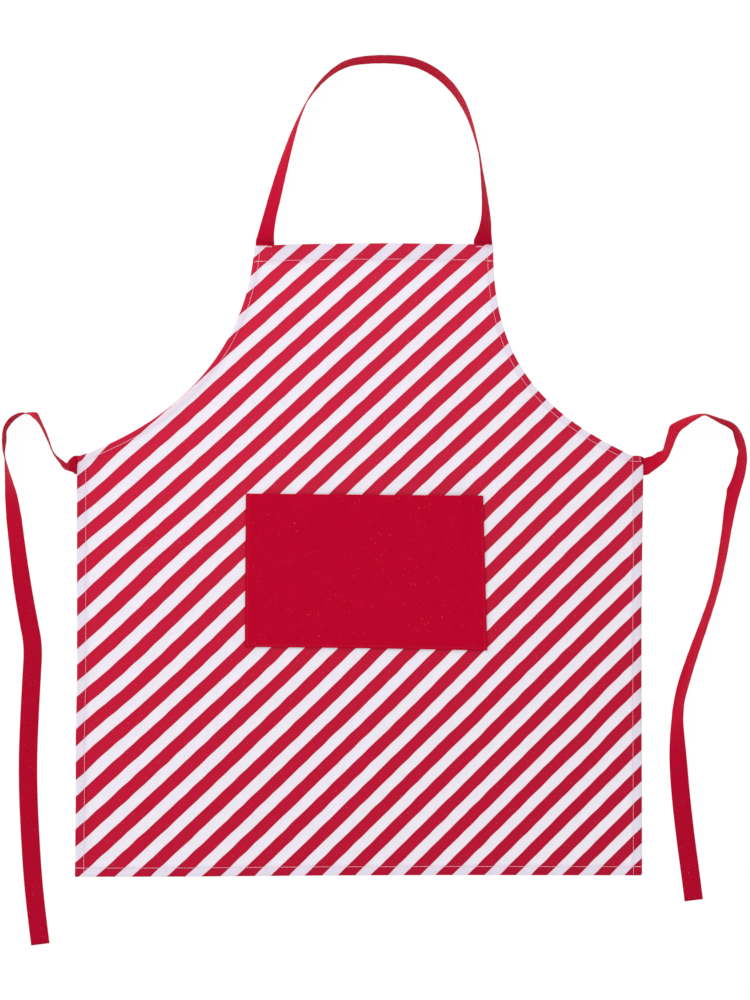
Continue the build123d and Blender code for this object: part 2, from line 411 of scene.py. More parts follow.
def cloth_shader(name, base_colour, sheen, weave_depth):
    """Plain-woven cotton. base_colour(shader, cloth) gives its colour before the yarns' own."""
    shader = Shader(name)
    cloth = shader.node("ShaderNodeUVMap", 0, {"uv_map": "cloth"})
    turns = shader.scaled(cloth, (2 * math.pi / WEAVE_PITCH, 2 * math.pi / WEAVE_PITCH, 0))
    across, along, _ = shader.parts(turns)
    warp = shader.math("SINE", across)
    weft = shader.math("SINE", along)
    weave = shader.math("MULTIPLY", warp, weft)
    warp_slub = shader.noise(cloth, (1500, 45, 0))
    weft_slub = shader.noise(cloth, (45, 1500, 0))
    slub = shader.math("ADD", warp_slub, weft_slub)
    mottle = shader.noise(cloth, (60, 60, 0), 4.0, 0.6)
    tone = shader.math("MULTIPLY_ADD", slub, 0.10, 0.90)
    tone = shader.math("MULTIPLY_ADD", mottle, 0.10, shader.math("SUBTRACT", tone, 0.05))
    tone = shader.math("MULTIPLY_ADD", weave, 0.02, tone)
    colour = shader.mix(1.0, base_colour(shader, cloth), shader.grey(tone), "MULTIPLY")
    specks = shader.noise(cloth, (650, 650, 0), 1.0)
    speck = shader.ramp(specks, 0.745, 0.80, 0.0, 0.4)
    colour = shader.mix(speck, colour, srgb(240, 212, 218))
    height = shader.math("MULTIPLY_ADD", slub, 0.7, weave)
    bump = shader.node("ShaderNodeBump", 0, Strength=1.0, Distance=weave_depth, Height=height)
    surface = shader.node(
        "ShaderNodeBsdfPrincipled",
        0,
        Base_Color=colour,
        Roughness=0.85,
        Specular_IOR_Level=0.04,
        Sheen_Weight=sheen,
        Sheen_Roughness=0.25,
        Normal=bump,
    )
    return shader.finish(surface)


def striped_colour(shader, cloth):
    """Red stripes printed on white cotton. The print's place comes with the cloth. The red also
    carries painted light and shade: lighter and pinker at the bib, darker towards the foot and the
    right.
    """
    place = shader.node("ShaderNodeAttribute", 2, {"attribute_name": "stripe"})
    fibres = shader.noise(cloth, (1800, 1800, 0))
    place = shader.math("MULTIPLY_ADD", fibres, 0.02, place)
    turn = shader.math("FRACT", shader.math("ADD", place, 0.49))
    # away runs from 0 in the middle of a white stripe to 0.5 in the middle of a red one.
    away = shader.math("ABSOLUTE", shader.math("SUBTRACT", turn, 0.5))
    inked = shader.ramp(away, 0.225, 0.245)
    rim_red = shader.ramp(away, 0.24, 0.31, 0.70, 1.0)
    rim = shader.node("ShaderNodeCombineColor", 0, Red=rim_red, Green=1.0, Blue=1.0)
    white = shader.mix(shader.ramp(away, 0.06, 0.19), WHITE_COTTON, WHITE_BESIDE_PRINT)
    x, y, _ = shader.parts(cloth)
    # Painted shade: the red is darkened towards the foot and the right side, as light falling off
    # away from the bib's left would darken it.
    painted_falloff = shader.math("MULTIPLY_ADD", y, 0.29, 1.03)
    painted_falloff = shader.math("MULTIPLY_ADD", x, -0.15, painted_falloff)
    # Painted light and shade: the red runs from its shaded colour at the foot to its lit colour at
    # the bib.
    height = shader.ramp(y, SKIRT_BOTTOM, BIB_TOP)
    lit_to_shaded_red = shader.mix(height, RED_PRINT_SHADED_FOOT, RED_PRINT_LIT_BIB)
    red = shader.mix(1.0, lit_to_shaded_red, shader.mix(1.0, rim, shader.grey(painted_falloff), "MULTIPLY"), "MULTIPLY")
    doubled = shader.node("ShaderNodeAttribute", 2, {"attribute_name": "doubled"})
    return shader.mix(doubled, shader.mix(inked, white, red), HEM_TINT, "MULTIPLY")


def plain_colour(colour):
    """One even colour, in the form that cloth_shader takes."""

    def give(shader, cloth):
        return colour

    return give


def thread_shader(name, colour):
    """Spun sewing thread, with its plies turned round it."""
    shader = Shader(name)
    place = shader.node("ShaderNodeUVMap", 0, {"uv_map": "cloth"})
    plies = shader.node(
        "ShaderNodeTexWave",
        1,
        {"bands_direction": "DIAGONAL"},
        Vector=place,
        Scale=900.0,
        Distortion=1.0,
    )
    shade = shader.math("MULTIPLY_ADD", plies, 0.12, 0.90)
    bump = shader.node("ShaderNodeBump", 0, Strength=0.6, Distance=0.00005, Height=plies)
    surface = shader.node(
        "ShaderNodeBsdfPrincipled",
        0,
        Base_Color=shader.mix(1.0, colour, shader.grey(shade), "MULTIPLY"),
        Roughness=0.6,
        Sheen_Weight=0.2,
        Normal=bump,
    )
    return shader.finish(surface)


def floor_shader():
    """Pale floor that lights itself a little, so that it stays white."""
    shader = Shader("floor_white")
    place = shader.node("ShaderNodeTexCoord", 3)
    grain = shader.noise(place, (90, 90, 0))
    tone = shader.math("MULTIPLY_ADD", grain, 0.01, 0.06)
    surface = shader.node(
        "ShaderNodeBsdfPrincipled",
        0,
        Base_Color=shader.grey(tone),
        Roughness=0.9,
        Specular_IOR_Level=0.0,
        Emission_Color=(1, 1, 1, 1),
        Emission_Strength=0.95,
    )
    return shader.finish(surface)


# ---------------------------------------------------------------- mesh helpers


def make_piece(name, points, faces, material, cloth=None, smooth=True, **values):
    """A mesh object. cloth holds each point's place on the flat cloth. values gives a number for
    each point: its place in the print (stripe), or how far it is on a doubled hem (doubled)."""
    mesh = bpy.data.meshes.new(name)
    mesh.from_pydata([tuple(map(float, p)) for p in points], [], [list(map(int, f)) for f in faces])
    mesh.polygons.foreach_set("use_smooth", [smooth] * len(mesh.polygons))
    if cloth is not None:
        loops = np.zeros(len(mesh.loops), np.int32)
        mesh.loops.foreach_get("vertex_index", loops)
        uv = mesh.uv_layers.new(name="cloth")
        uv.data.foreach_set("uv", np.asarray(cloth, np.float32)[loops].ravel())
    for key, numbers in values.items():
        attribute = mesh.attributes.new(key, "FLOAT", "POINT")
        attribute.data.foreach_set("value", np.asarray(numbers, np.float32))
    mesh.materials.append(material)
    mesh.update()
    piece = bpy.data.objects.new(name, mesh)
    bpy.context.scene.collection.objects.link(piece)
    return piece


def smoothstep(low, high, value):
    """A smooth rise from 0 at low to 1 at high."""
    share = np.clip((value - low) / (high - low), 0, 1)
    return share * share * (3 - 2 * share)


def bezier(points, shares):
    """Places along a cubic Bezier curve."""
    a, b, c, d = (np.array(p, float) for p in points)
    t = np.asarray(shares, float)[:, None]
    return a * (1 - t) ** 3 + 3 * b * t * (1 - t) ** 2 + 3 * c * t * t * (1 - t) + d * t**3


def evenly(points, spacing):
    """Points at an even spacing along a polyline, both ends kept."""
    points = np.asarray(points, float)
    steps = np.linalg.norm(np.diff(points, axis=0), axis=1)
    along = np.concatenate(([0], np.cumsum(steps)))
    count = max(1, round(along[-1] / spacing))
    places = np.linspace(0, along[-1], count + 1)
    return np.stack([np.interp(places, along, points[:, k]) for k in range(points.shape[1])], 1)


def normals_2d(points):
    """Unit normals on the left-hand side of a polyline."""
    forward = np.gradient(points, axis=0)
    forward /= np.linalg.norm(forward, axis=1)[:, None]
    return np.stack((-forward[:, 1], forward[:, 0]), 1)


def between(line, axis, low, high, spacing=LINE_SPACING):
    """The stretch of a line that lies between two values of x (axis 0) or y (axis 1)."""
    path = evenly(line, spacing)
    return path[(path[:, axis] > low) & (path[:, axis] < high)]


def beside(line, reach, axis, low, high):
    """A line at a fixed reach inside an edge of the body cloth, between two values of x or y."""
    path = evenly(line, ROW_SPACING)
    return between(path + normals_2d(path) * reach, axis, low, high, ROW_SPACING)


def grid_faces(rows, columns):
    """Faces of a sheet whose points are given row by row."""
    return [
        (k * columns + j, k * columns + j + 1, (k + 1) * columns + j + 1, (k + 1) * columns + j)
        for k in range(rows - 1)
        for j in range(columns - 1)
    ]


def tube_faces(count, size, flipped=False):
    """Faces of a closed tube of count rings with size points each: its wall, then both ends."""
    faces = []
    for k in range(count - 1):
        for j in range(size):
            a, b = k * size + j, k * size + (j + 1) % size
            c, d = b + size, a + size
            faces.append((a, d, c, b) if flipped else (a, b, c, d))
    first, last = range(size), range((count - 1) * size, count * size)
    ends = (first, reversed(last)) if flipped else (reversed(first), last)
    return faces + [tuple(end) for end in ends]


def thicken(piece, thickness):
    """Gives a single layer its thickness, below the layer."""
    modifier = piece.modifiers.new("thickness", "SOLIDIFY")
    modifier.thickness = thickness
    modifier.offset = -1
    graph = bpy.context.evaluated_depsgraph_get()
    made = bpy.data.meshes.new_from_object(piece.evaluated_get(graph))
    piece.modifiers.clear()
    piece.data = made


def join(name, parts):
    """One piece made of several."""
    with bpy.context.temp_override(
        active_object=parts[0], selected_objects=parts, selected_editable_objects=parts
    ):
        bpy.ops.object.join()
    parts[0].name = name
    return parts[0]


def stripe_place(x, y):
    """Where a point of the cloth is in the print, in stripes. The print is a little uneven."""
    u, v = x / HALF_SKIRT, y / HALF_SKIRT
    even = (x * math.sin(STRIPE_ANGLE) - y * math.cos(STRIPE_ANGLE)) / STRIPE_PITCH + PRINT_START
    along = -0.044 * v - 0.357 * v**2 - 0.151 * v**3
    across = 0.193 * u**2 - 0.061 * u**3
    place = even + along + across + 0.092 * u * v**2 - 0.107 * u**2 * v
    for middle_x, middle_y, reach_x, reach_y, shift in PULLS:
        gap = ((x - middle_x) / reach_x) ** 2 + ((y - middle_y) / reach_y) ** 2
        place = place - shift / STRIPE_PITCH * np.exp(-gap)
    return place + PRINT_WANDER / STRIPE_PITCH * waves(np.column_stack((x, y)), 12, 0.060, 0.020, 8)


# ---------------------------------------------------------------- shape of the body cloth

CURVE_SHARES = np.linspace(0, 1, 600)
LEFT_CURVE = bezier(LEFT_ARMHOLE, CURVE_SHARES)
RIGHT_CURVE = bezier(RIGHT_ARMHOLE, CURVE_SHARES)

# The body cloth doesn't lie quite straight. Its edges, anticlockwise from the bib's top right.
TOP_EDGE = (RIGHT_ARMHOLE[-1], (0.137, 0.2745), (0.040, 0.2756), (-0.040, 0.2751), (-0.098, 0.2735))
TOP_EDGE += (LEFT_ARMHOLE[0],)
LEFT_EDGE = (LEFT_ARMHOLE[-1], (-0.3487, -0.262), (-0.3503, -0.335), (-0.3503, -0.410))
LEFT_EDGE += ((-0.3513, SKIRT_BOTTOM),)
FOOT_EDGE = ((-0.3513, SKIRT_BOTTOM), (-0.220, -0.5078), (-0.050, -0.5064), (0.120, -0.5058))
FOOT_EDGE += ((0.3501, -0.5062),)
RIGHT_EDGE = ((0.3501, -0.5062), (0.3499, -0.410), (0.3494, -0.300), (0.3494, -0.180))
RIGHT_EDGE += ((0.3502, -0.110), (0.3510, -0.050), (0.3517, -0.002), (0.3503, 0.0104))
RIGHT_EDGE += ((0.3485, 0.0127),)
CORNER_EDGE = ((0.3485, 0.0127), RIGHT_ARMHOLE[0])

EDGES = (
    (np.array(TOP_EDGE), TOP_HEM),
    (LEFT_CURVE, ARMHOLE_HEM),
    (np.array(LEFT_EDGE), SIDE_HEM),
    (np.array(FOOT_EDGE), SIDE_HEM),
    (np.array(RIGHT_EDGE), SIDE_HEM),
    (np.array(CORNER_EDGE), ARMHOLE_HEM),
    (RIGHT_CURVE, ARMHOLE_HEM),
)


def distance_to(line, points):
    """Distance from each point to a polyline."""
    best = np.full(len(points), np.inf)
    starts, ends = line[:-1], line[1:]
    for start, end in zip(starts, ends):
        run = end - start
        share = np.clip((points - start) @ run / (run @ run), 0, 1)
        gap = np.linalg.norm(points - start - share[:, None] * run, axis=1)
        best = np.minimum(best, gap)
    return best


def edge_distances(points):
    """Distance from each point to each of the body cloth's edges."""
    return [distance_to(evenly(line, 0.008), points) for line, _ in EDGES]


def waves(points, count, longest, shortest, seed):
    """A sum of straight waves in seeded directions, between about -1 and 1."""
    draw = np.random.default_rng(seed)
    total = np.zeros(len(points))
    for _ in range(count):
        turn = draw.uniform(0, math.pi)
        pitch = math.exp(draw.uniform(math.log(shortest), math.log(longest)))
        phase = draw.uniform(0, 2 * math.pi)
        along = points[:, 0] * math.cos(turn) + points[:, 1] * math.sin(turn)
        total += np.sin(2 * math.pi * along / pitch + phase)
    return total / math.sqrt(count) / 1.4


pocket_low, pocket_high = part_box("pocket_panel")


def hem_share(gaps):
    """1 over the body cloth's hems and 0 off them, from the distances to its edges."""
    share = np.zeros(len(gaps[0]))
    for gap, (_, width) in zip(gaps, EDGES):
        share = np.maximum(share, 1 - smoothstep(width - 0.0003, width + HEM_SLOPE, gap))
    return share


def cloth_top(points):
    """Height of the body cloth's upper side at each (x, y)."""
    points = np.asarray(points, float)
    gaps = edge_distances(points)
    hem = hem_share(gaps)
    dimple = np.zeros(len(points))
    outer = np.full(len(points), np.inf)
    for gap, (_, width) in zip(gaps, EDGES):
        row = gap - (width - STITCH_INSET)
        dimple = np.maximum(dimple, np.exp(-((row / DIMPLE_REACH) ** 2)))
        outer = np.minimum(outer, gap)
    away = np.maximum(
        np.maximum(pocket_low.x - points[:, 0], points[:, 0] - pocket_high.x),
        np.maximum(pocket_low.y - points[:, 1], points[:, 1] - pocket_high.y),
    )
    free = smoothstep(0.0, 0.04, away)
    broad = 0.5 + 0.5 * waves(points, 9, 0.30, 0.07, 5)
    fine = waves(points, 16, 0.05, 0.018, 6)
    field = FIELD_TOP + free * (BROAD_WAVES * np.clip(broad, 0, 1.4) + FINE_WAVES * fine)
    pucker = waves(points, 14, 0.016, 0.007, 7) * (HEM_PUCKER + ROW_PUCKER * dimple)
    top = field + (HEM_TOP - FIELD_TOP) * hem * (1 - 0.35 * (field - FIELD_TOP) / 0.001)
    top = top + pucker * hem - DIMPLE_DEPTH * dimple
    return top - EDGE_DROP * (1 - smoothstep(0.0, EDGE_REACH, outer)) ** 2


def body_points():
    """Points of the body cloth: its outline, rows beside each edge with their reach, and a grid."""
    outline = np.concatenate([evenly(line, OUTLINE_SPACING)[:-1] for line, _ in EDGES])
    rows = []
    for line, width in EDGES:
        path = evenly(line, OUTLINE_SPACING)
        sides = normals_2d(path)
        across_hem = (0.0005, 0.0012, 0.45 * width, width - 0.0023, width - 0.001)
        past_hem = (width + 0.0002, width + 0.002, width + 0.0042)
        for reach in across_hem + past_hem:
            rows.append((path + sides * reach, reach))
    xs = np.arange(-HALF_SKIRT, HALF_SKIRT, GRID_SPACING)
    ys = np.arange(SKIRT_BOTTOM, BIB_TOP, GRID_SPACING * 0.87)
    grid = np.array([(x + GRID_SPACING / 2 * (j % 2), y) for j, y in enumerate(ys) for x in xs])
    return outline, rows, grid


def inside_outline(points, outline):
    """Whether each point lies inside a closed polygon."""
    inside = np.zeros(len(points), bool)
    x, y = points[:, 0], points[:, 1]
    for (ax, ay), (bx, by) in zip(outline, np.roll(outline, -1, axis=0)):
        if ay != by:
            crossing = (ay > y) != (by > y)
            inside ^= crossing & (x < (bx - ax) * (y - ay) / (by - ay) + ax)
    return inside


def make_body_cloth(material):
    """The striped cloth of bib and skirt, with its edges turned over the hems."""
    outline, rows, grid = body_points()
    kept = [tuple(p) for p in outline]

    def spaced(candidates, reach_of_own):
        """Keeps the points that lie no nearer to another edge than to their own."""
        gaps = np.array(edge_distances(candidates))
        return candidates[gaps.min(axis=0) > reach_of_own - 0.0001]

    for row, reach in rows:
        inner = row[inside_outline(row, outline)]
        kept.extend(map(tuple, spaced(inner, min(reach, 0.0005))))
    tree = kdtree.KDTree(len(kept))
    for number, point in enumerate(kept):
        tree.insert((*point, 0), number)
    tree.balance()
    unique = list(range(len(outline)))
    taken = set(unique)
    for number in range(len(outline), len(kept)):
        near = tree.find_range((*kept[number], 0), POINT_GAP)
        if not any(other in taken and other != number for _, other, _ in near):
            unique.append(number)
            taken.add(number)
    places = [kept[number] for number in unique]
    grid = grid[inside_outline(grid, outline)]
    clear = [tree.find((*point, 0))[2] > GRID_GAP for point in grid]
    places.extend(map(tuple, grid[clear]))
    count = len(outline)
    edges = [(k, (k + 1) % count) for k in range(count)]
    made = delaunay_2d_cdt([Vector(p) for p in places], edges, [], 1, 1e-7)
    flat = np.array([tuple(v) for v in made[0]])
    faces = made[2]
    top = cloth_top(flat)
    points = np.column_stack((flat, top))
    stripe = stripe_place(flat[:, 0], flat[:, 1])
    doubled = hem_share(edge_distances(flat))
    piece = make_piece(
        "body_cloth", points, faces, material, flat, stripe=stripe, doubled=doubled
    )
    thicken(piece, CLOTH)
    return piece


# ---------------------------------------------------------------- straps


def spline_points(points):
    """Points read from the smooth line that has these control points."""
    curve = bpy.data.curves.new("line", "CURVE")
    curve.dimensions = "3D"
    curve.resolution_u = 14
    spline = curve.splines.new("NURBS")
    spline.points.add(len(points) - 1)
    for place, point in zip(spline.points, points):
        place.co = (*point, 1)
    spline.order_u = 3
    spline.use_endpoint_u = True
    holder = bpy.data.objects.new("line", curve)
    mesh = bpy.data.meshes.new_from_object(holder)
    line = np.array([tuple(v.co) for v in mesh.vertices])
    bpy.data.objects.remove(holder)
    bpy.data.meshes.remove(mesh)
    bpy.data.curves.remove(curve)
    return line


def strap_height(roll):
    """Height of a strap's middle over the floor when its lower edge rests there."""
    return STRAP_WIDTH / 2 * abs(math.sin(roll)) + STRAP_THICKNESS / 2 * abs(math.cos(roll))


# Places across a strap, as shares of its half width.
SECTION = (-1.0, -0.985, -0.94, -0.87, -0.80, -0.55, -0.28, 0.0)
SECTION += (0.28, 0.55, 0.80, 0.87, 0.94, 0.985, 1.0)


def strap_line(route):
    """The centreline of a strap and its roll at each point of it."""
    rolls = [math.radians(point[2]) for point in route]
    control = [(x, y, strap_height(roll)) for (x, y, _), roll in zip(route, rolls)]
    centre = spline_points(control)
    number = spline_points([(k, 0, 0) for k in range(len(route))])[:, 0]
    return centre, np.interp(number, range(len(route)), rolls)


def make_strap(name, route, material, nicks=(), seed=1):
    """A folded and sewn cotton strap along its route. Returns the piece and its centreline."""
    centre, roll = strap_line(route)
    steps = np.linalg.norm(np.diff(centre[:, :2], axis=0), axis=1)
    along = np.concatenate(([0], np.cumsum(steps)))
    forward = np.gradient(centre[:, :2], along, axis=0)
    forward /= np.linalg.norm(forward, axis=1)[:, None]
    right = np.column_stack((forward[:, 1], -forward[:, 0], np.zeros(len(centre))))
    upward = np.array([0.0, 0.0, 1.0])
    across = right * np.cos(roll)[:, None] + upward * np.sin(roll)[:, None]
    normal = np.cross(across, np.column_stack((forward, np.zeros(len(centre)))))
    half_width, half_thick = STRAP_WIDTH / 2, STRAP_THICKNESS / 2
    lying = half_width * np.abs(np.sin(roll)) + half_thick * np.abs(np.cos(roll)) + 0.0001
    middle = centre.copy()
    middle[:, 2] = np.maximum(centre[:, 2], lying)
    shares = np.array(SECTION)
    body = np.sqrt(np.clip(1 - np.abs(shares) ** 10, 0, 1))
    groove = 0.16 * np.exp(-(((np.abs(shares) - 0.82) / 0.05) ** 2))
    thick = half_thick * (body - groove * body)
    along_points = np.column_stack((along, np.zeros(len(along))))
    free = smoothstep(0.0, 0.03, np.minimum(along, along[-1] - along))
    crown = ARCH * free * waves(along_points, 5, 0.16, 0.05, seed)
    ripple = RIPPLE * waves(along_points, 9, 0.022, 0.009, seed + 1)
    sides = np.concatenate((shares, shares[-2:0:-1]))
    points, cloth = [], []
    for k in range(len(centre)):
        bow = (crown[k] + CUP * math.sin(roll[k]) ** 4) * (1 - shares**2) + ripple[k] * shares
        outer = middle[k] + across[k] * (shares * half_width)[:, None]
        upper = outer + normal[k] * (bow + thick)[:, None]
        lower = (outer + normal[k] * (bow - thick)[:, None])[-2:0:-1]
        points.append(np.concatenate((upper, lower)))
        cloth.append(np.column_stack((sides * half_width, np.full(len(sides), along[k]))))
    points, cloth = np.array(points), np.array(cloth)
    for x, y, side, shift, reach in nicks:
        nearest = np.argmin(np.hypot(middle[:, 0] - x, middle[:, 1] - y))
        strength = np.clip(1 - np.abs(along - along[nearest]) / reach, 0, 1)
        hold = np.clip(side * sides, 0, 1) ** 1.3
        points += (strength[:, None] * hold[None, :])[:, :, None] * np.array(shift)
    points[:, :, 2] = np.maximum(points[:, :, 2], 0.00005)
    faces = tube_faces(*points.shape[:2], flipped=True)
    piece = make_piece(name, points.reshape(-1, 3), faces, material, cloth.reshape(-1, 2))
    return piece, middle


# ---------------------------------------------------------------- stitches

# Rings of one stitch: place along it, girth and rise, as shares of its length and width.
STITCH_RINGS = ((-0.5, 0.3, -0.6), (-0.42, 0.85, 0.2), (0.0, 1.0, 0.55))
STITCH_RINGS += ((0.42, 0.85, 0.2), (0.5, 0.3, -0.6))
THREAD_SIDES = 6


def make_stitches(name, rows, material, pitch=0.0031, length=0.0029, width=0.0005, lift=0.0):
    """Rows of sewing stitches along lines on the cloth, each one a short rounded thread."""
    turns = [k * math.tau / THREAD_SIDES for k in range(THREAD_SIDES)]
    tube = tube_faces(len(STITCH_RINGS), THREAD_SIDES)
    points, faces, cloth = [], [], []
    for row, tops in rows:
        path = evenly(np.column_stack((row, tops)), pitch)
        forward = np.gradient(path, axis=0)
        forward /= np.linalg.norm(forward, axis=1)[:, None]
        for place, ahead in zip(path, forward):
            wander = rng.uniform(-1, 1, 3)
            ahead = ahead + 0.06 * np.array([-ahead[1], ahead[0], 0]) * wander[0]
            side = np.array([ahead[1], -ahead[0], 0.0])
            start = len(points)
            reach = length * (1 + 0.12 * wander[1])
            for along, girth, rise in STITCH_RINGS:
                middle = place + ahead * (along * reach)
                middle = middle + side * (wander[2] * 0.00008)
                middle[2] += lift + rise * width * 0.35
                for turn in turns:
                    out = side * math.cos(turn) + np.array([0, 0, 0.8]) * math.sin(turn)
                    points.append(middle + out * (girth * width / 2))
                    cloth.append((along * reach, turn * width / 2))
            faces.extend([start + number for number in face] for face in tube)
    return make_piece(name, points, faces, material, cloth)


def on_cloth(line):
    """A row of stitches on the body cloth: the line and the cloth's height along it."""
    path = evenly(line, LINE_SPACING)
    return path, cloth_top(path)


# ---------------------------------------------------------------- hems

# Section of a hem: share of its width, from the edge inwards, and share of its thickness.
HEM_SECTION = (
    (0.02, 0.50),
    (0.05, 0.14),
    (0.12, 0.02),
    (0.50, 0.0),
    (0.93, 0.02),
    (0.99, 0.20),
    (1.0, 0.50),
    (0.99, 0.80),
    (0.93, 0.97),
    (0.50, 1.0),
    (0.12, 0.98),
    (0.05, 0.86),
)


def make_hem(name, line, width, material):
    """The folded cloth of one hem, under the body cloth, along the edge given as a line."""
    path = evenly(line, LINE_SPACING)
    sides = normals_2d(path)
    points, cloth = [], []
    for place, side in zip(path, sides):
        for share, level in HEM_SECTION:
            flat = place + side * (width * share)
            points.append((*flat, LAYER_GAP + HEM_FOLD * level))
            cloth.append(place - side * (width * share))
    stripe = stripe_place(*np.array(cloth).T)
    faces = tube_faces(len(path), len(HEM_SECTION))
    return make_piece(name, points, faces, material, cloth, stripe=stripe)


# ---------------------------------------------------------------- pocket

POCKET_CORNERS = {
    "top_left": (-0.1400, -0.0340),
    "top_right": (0.1536, -0.0366),
    "foot_left": (-0.1413, -0.2237),
    "foot_right": (0.1588, -0.2282),
}

# Mean width and depth, the bow of the foot, the turned edge and the step over it, the height of
# the panel's underside, and the insets of the stitching at the edges and below the mouth.
POCKET_WIDTH = 0.297
POCKET_DEPTH = 0.191
FOOT_BOW = 0.0006
POCKET_EDGE = 0.010
EDGE_STEP = 0.0004
POCKET_BASE = FIELD_TOP + 0.00055
POCKET_STITCH = 0.003
MOUTH_STITCH = 0.017

# Points of the pocket: insets of the close rows from its edges, and the spacing between them.
POCKET_INSETS = (0.0, 0.0004, 0.0011, 0.0019, 0.003, 0.0041, 0.007, 0.0099, 0.0131)
POCKET_SPACING = 0.0036


def pocket_place(u, v):
    """A point of the pocket's outline: u runs left to right and v from the foot to the mouth."""
    corners = {key: np.array(value) for key, value in POCKET_CORNERS.items()}
    foot = corners["foot_left"] * (1 - u) + corners["foot_right"] * u
    mouth = corners["top_left"] * (1 - u) + corners["top_right"] * u
    foot = foot + np.array([0, FOOT_BOW * math.sin(math.pi * u)])
    return foot * (1 - v) + mouth * v


def pocket_top(u, v):
    """Height of the pocket's upper side."""
    side = min(u, 1 - u) * POCKET_WIDTH
    foot = v * POCKET_DEPTH
    below_mouth = (1 - v) * POCKET_DEPTH
    edge = min(side, foot)
    step = EDGE_STEP * (1 - float(smoothstep(POCKET_EDGE, POCKET_EDGE + 0.003, edge)))
    spread = float(smoothstep(0.0, 0.05, side))
    mouth = float(smoothstep(0.55, 1.0, v))
    lifted = 0.0022 * math.exp(-(((u - 0.90) / 0.055) ** 2)) + 0.0010 * spread
    flat = np.array([[u * POCKET_WIDTH, v * POCKET_DEPTH]])
    swell = 0.0006 * float(waves(flat, 8, 0.12, 0.03, 21)[0])
    sewn = max(math.exp(-(((gap - POCKET_STITCH) / DIMPLE_REACH) ** 2)) for gap in (side, foot))
    faint = 0.2 * math.exp(-(((below_mouth - MOUTH_STITCH) / DIMPLE_REACH) ** 2))
    rounded = 0.0004 * (1 - float(smoothstep(0.0, 0.001, min(edge, below_mouth)))) ** 2
    free = spread * float(smoothstep(0.0, 0.04, foot))
    rise = mouth * lifted + free * (0.0004 + max(swell, -0.0004))
    return POCKET_BASE + CLOTH + step + rise - DIMPLE_DEPTH * max(sewn, faint) - rounded


def pocket_shares(length):
    """Shares along one side of the pocket: close rows near its edges, an even grid between."""
    near = [inset / length for inset in POCKET_INSETS]
    count = round(length * (1 - 2 * near[-1]) / POCKET_SPACING)
    middle = np.linspace(near[-1], 1 - near[-1], count + 1)
    return np.concatenate((near[:-1], middle, [1 - share for share in reversed(near[:-1])]))


def make_pocket_layer(name, material, us, vs, below, thickness):
    """A layer of the pocket's cloth between shares of its width and its depth, with its upper
    side at a distance below the pocket's upper side."""
    points, cloth = [], []
    for v in vs:
        for u in us:
            points.append((*pocket_place(u, v), pocket_top(u, v) - below))
            cloth.append((u * POCKET_WIDTH, v * POCKET_DEPTH))
    piece = make_piece(name, points, grid_faces(len(vs), len(us)), material, cloth)
    thicken(piece, thickness)
    return piece


def make_pocket(material):
    """The red patch pocket's panel."""
    us, vs = pocket_shares(POCKET_WIDTH), pocket_shares(POCKET_DEPTH)
    return make_pocket_layer("pocket_cloth", material, us, vs, 0.0, CLOTH)


def make_pocket_band(name, material, us, vs):
    """Turned cloth under the pocket's panel, between shares of its width and its depth."""
    return make_pocket_layer(name, material, us, vs, CLOTH + LAYER_GAP, TURNED_CLOTH)


def turned_edge(material):
    """The cloth turned under at the pocket's two sides and its foot, as one piece."""
    parts = []
    for name, us, vs in (
        ("left", np.linspace(0.002, 0.0335, 5), np.linspace(0.002, 0.998, 50)),
        ("right", np.linspace(0.9665, 0.998, 5), np.linspace(0.002, 0.998, 50)),
        ("foot", np.linspace(0.034, 0.966, 70), np.linspace(0.003, 0.052, 5)),
    ):
        parts.append(make_pocket_band(f"turned_{name}", material, us, vs))
    return join("pocket_turned_cloth", parts)


def pocket_row(first, last, sunk=0.0002):
    """A row of stitches on the pocket, between two (u, v) places, drawn a little into the cloth."""
    shares = np.linspace(0, 1, 80)
    us = first[0] + (last[0] - first[0]) * shares
    vs = first[1] + (last[1] - first[1]) * shares
    flat = np.array([pocket_place(u, v) for u, v in zip(us, vs)])
    return flat, np.array([pocket_top(u, v) for u, v in zip(us, vs)]) - sunk


# ---------------------------------------------------------------- floor and light


def make_floor(material):
    """A wide flat floor under the apron."""
    size = 4.0
    points = [(-size, -size, 0), (size, -size, 0), (size, size, 0), (-size, size, 0)]
    floor = make_piece("floor", points, [(0, 1, 2, 3)], material, smooth=False)


def make_sky():
    """Soft light from all round, brighter near the horizon than overhead."""
    world = bpy.data.worlds.new("studio")
    world.use_nodes = True
    tree = world.node_tree
    place = tree.nodes.new("ShaderNodeTexCoord")
    split = tree.nodes.new("ShaderNodeSeparateXYZ")
    tree.links.new(place.outputs["Generated"], split.inputs[0])
    value = split.outputs[2]
    for operation, first, second in (
        ("SUBTRACT", 1.0, value),
        ("POWER", None, 2.0),
        ("MULTIPLY", None, HORIZON_LIGHT),
        ("ADD", None, SKY_LIGHT),
    ):
        step = tree.nodes.new("ShaderNodeMath")
        step.operation = operation
        set_input(step, 0, value if first is None else first)
        set_input(step, 1, second)
        value = step.outputs[0]
    tree.links.new(value, tree.nodes["Background"].inputs["Strength"])
    tree.nodes["Background"].inputs["Color"].default_value = (1.0, 1.0, 1.0, 1.0)
    bpy.context.scene.world = world


def make_lamp():
    """One soft lamp, low and beyond the bib's left side."""
    data = bpy.data.lights.new("softbox", "AREA")
    data.shape = "RECTANGLE"
    data.size, data.size_y = LAMP_SIZE
    data.energy = LAMP_POWER
    lamp = bpy.data.objects.new("softbox", data)
    lamp.location = LAMP_PLACE
    lamp.rotation_euler = (-Vector(LAMP_PLACE)).to_track_quat("-Z", "Y").to_euler()
    bpy.context.scene.collection.objects.link(lamp)


# ---------------------------------------------------------------- the scene

make_camera()

